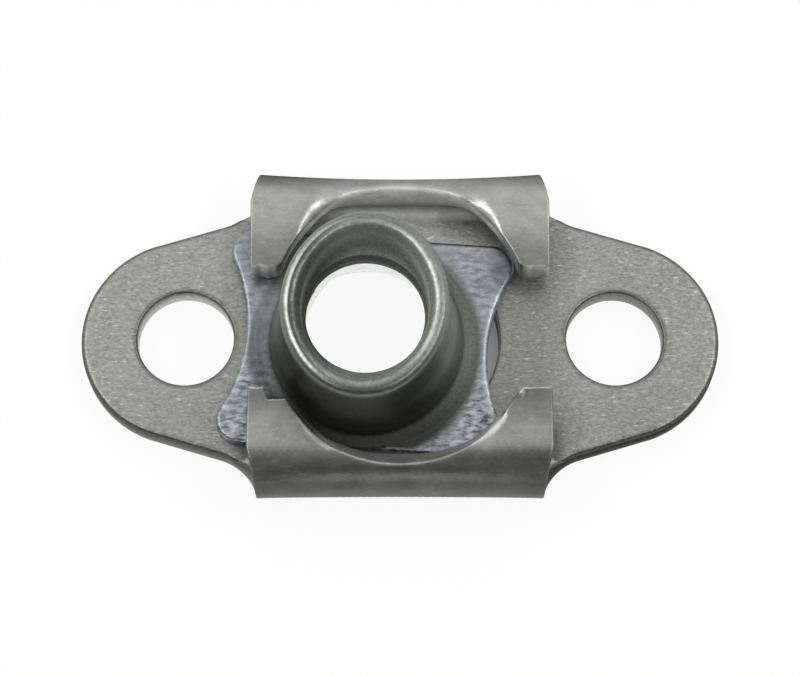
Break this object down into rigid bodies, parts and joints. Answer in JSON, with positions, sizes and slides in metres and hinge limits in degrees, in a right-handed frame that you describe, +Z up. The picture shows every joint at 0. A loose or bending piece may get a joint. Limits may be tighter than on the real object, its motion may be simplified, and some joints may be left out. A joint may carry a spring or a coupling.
{
  "type": "floating plate nut",
  "caption": "Folded sheet retainer with riveting ears that holds a floating self-locking nut with an oval locking collar under its tabs.",
  "frame": {"origin": "middle of the plate's underside, halfway between the two rivet holes", "axes": "+X through the two rivet holes, +Z up through the nut, away from the face that is riveted down"},
  "size_m": [0.0222, 0.0116, 0.0059],
  "materials": {
    "retainer_steel": "satin",
    "nut_steel": "dull plated"
  },
  "bodies": {
    "retainer": {"retainer": "retainer_steel"},
    "nut": {"floating_nut": "nut_steel"}
  },
  "joints": [
    {"name": "nut_float", "type": "slide", "parent": "retainer", "child": "nut", "axis": [1, 0, 0], "range_m": [-0.00005, 0.0023]}
  ]
}
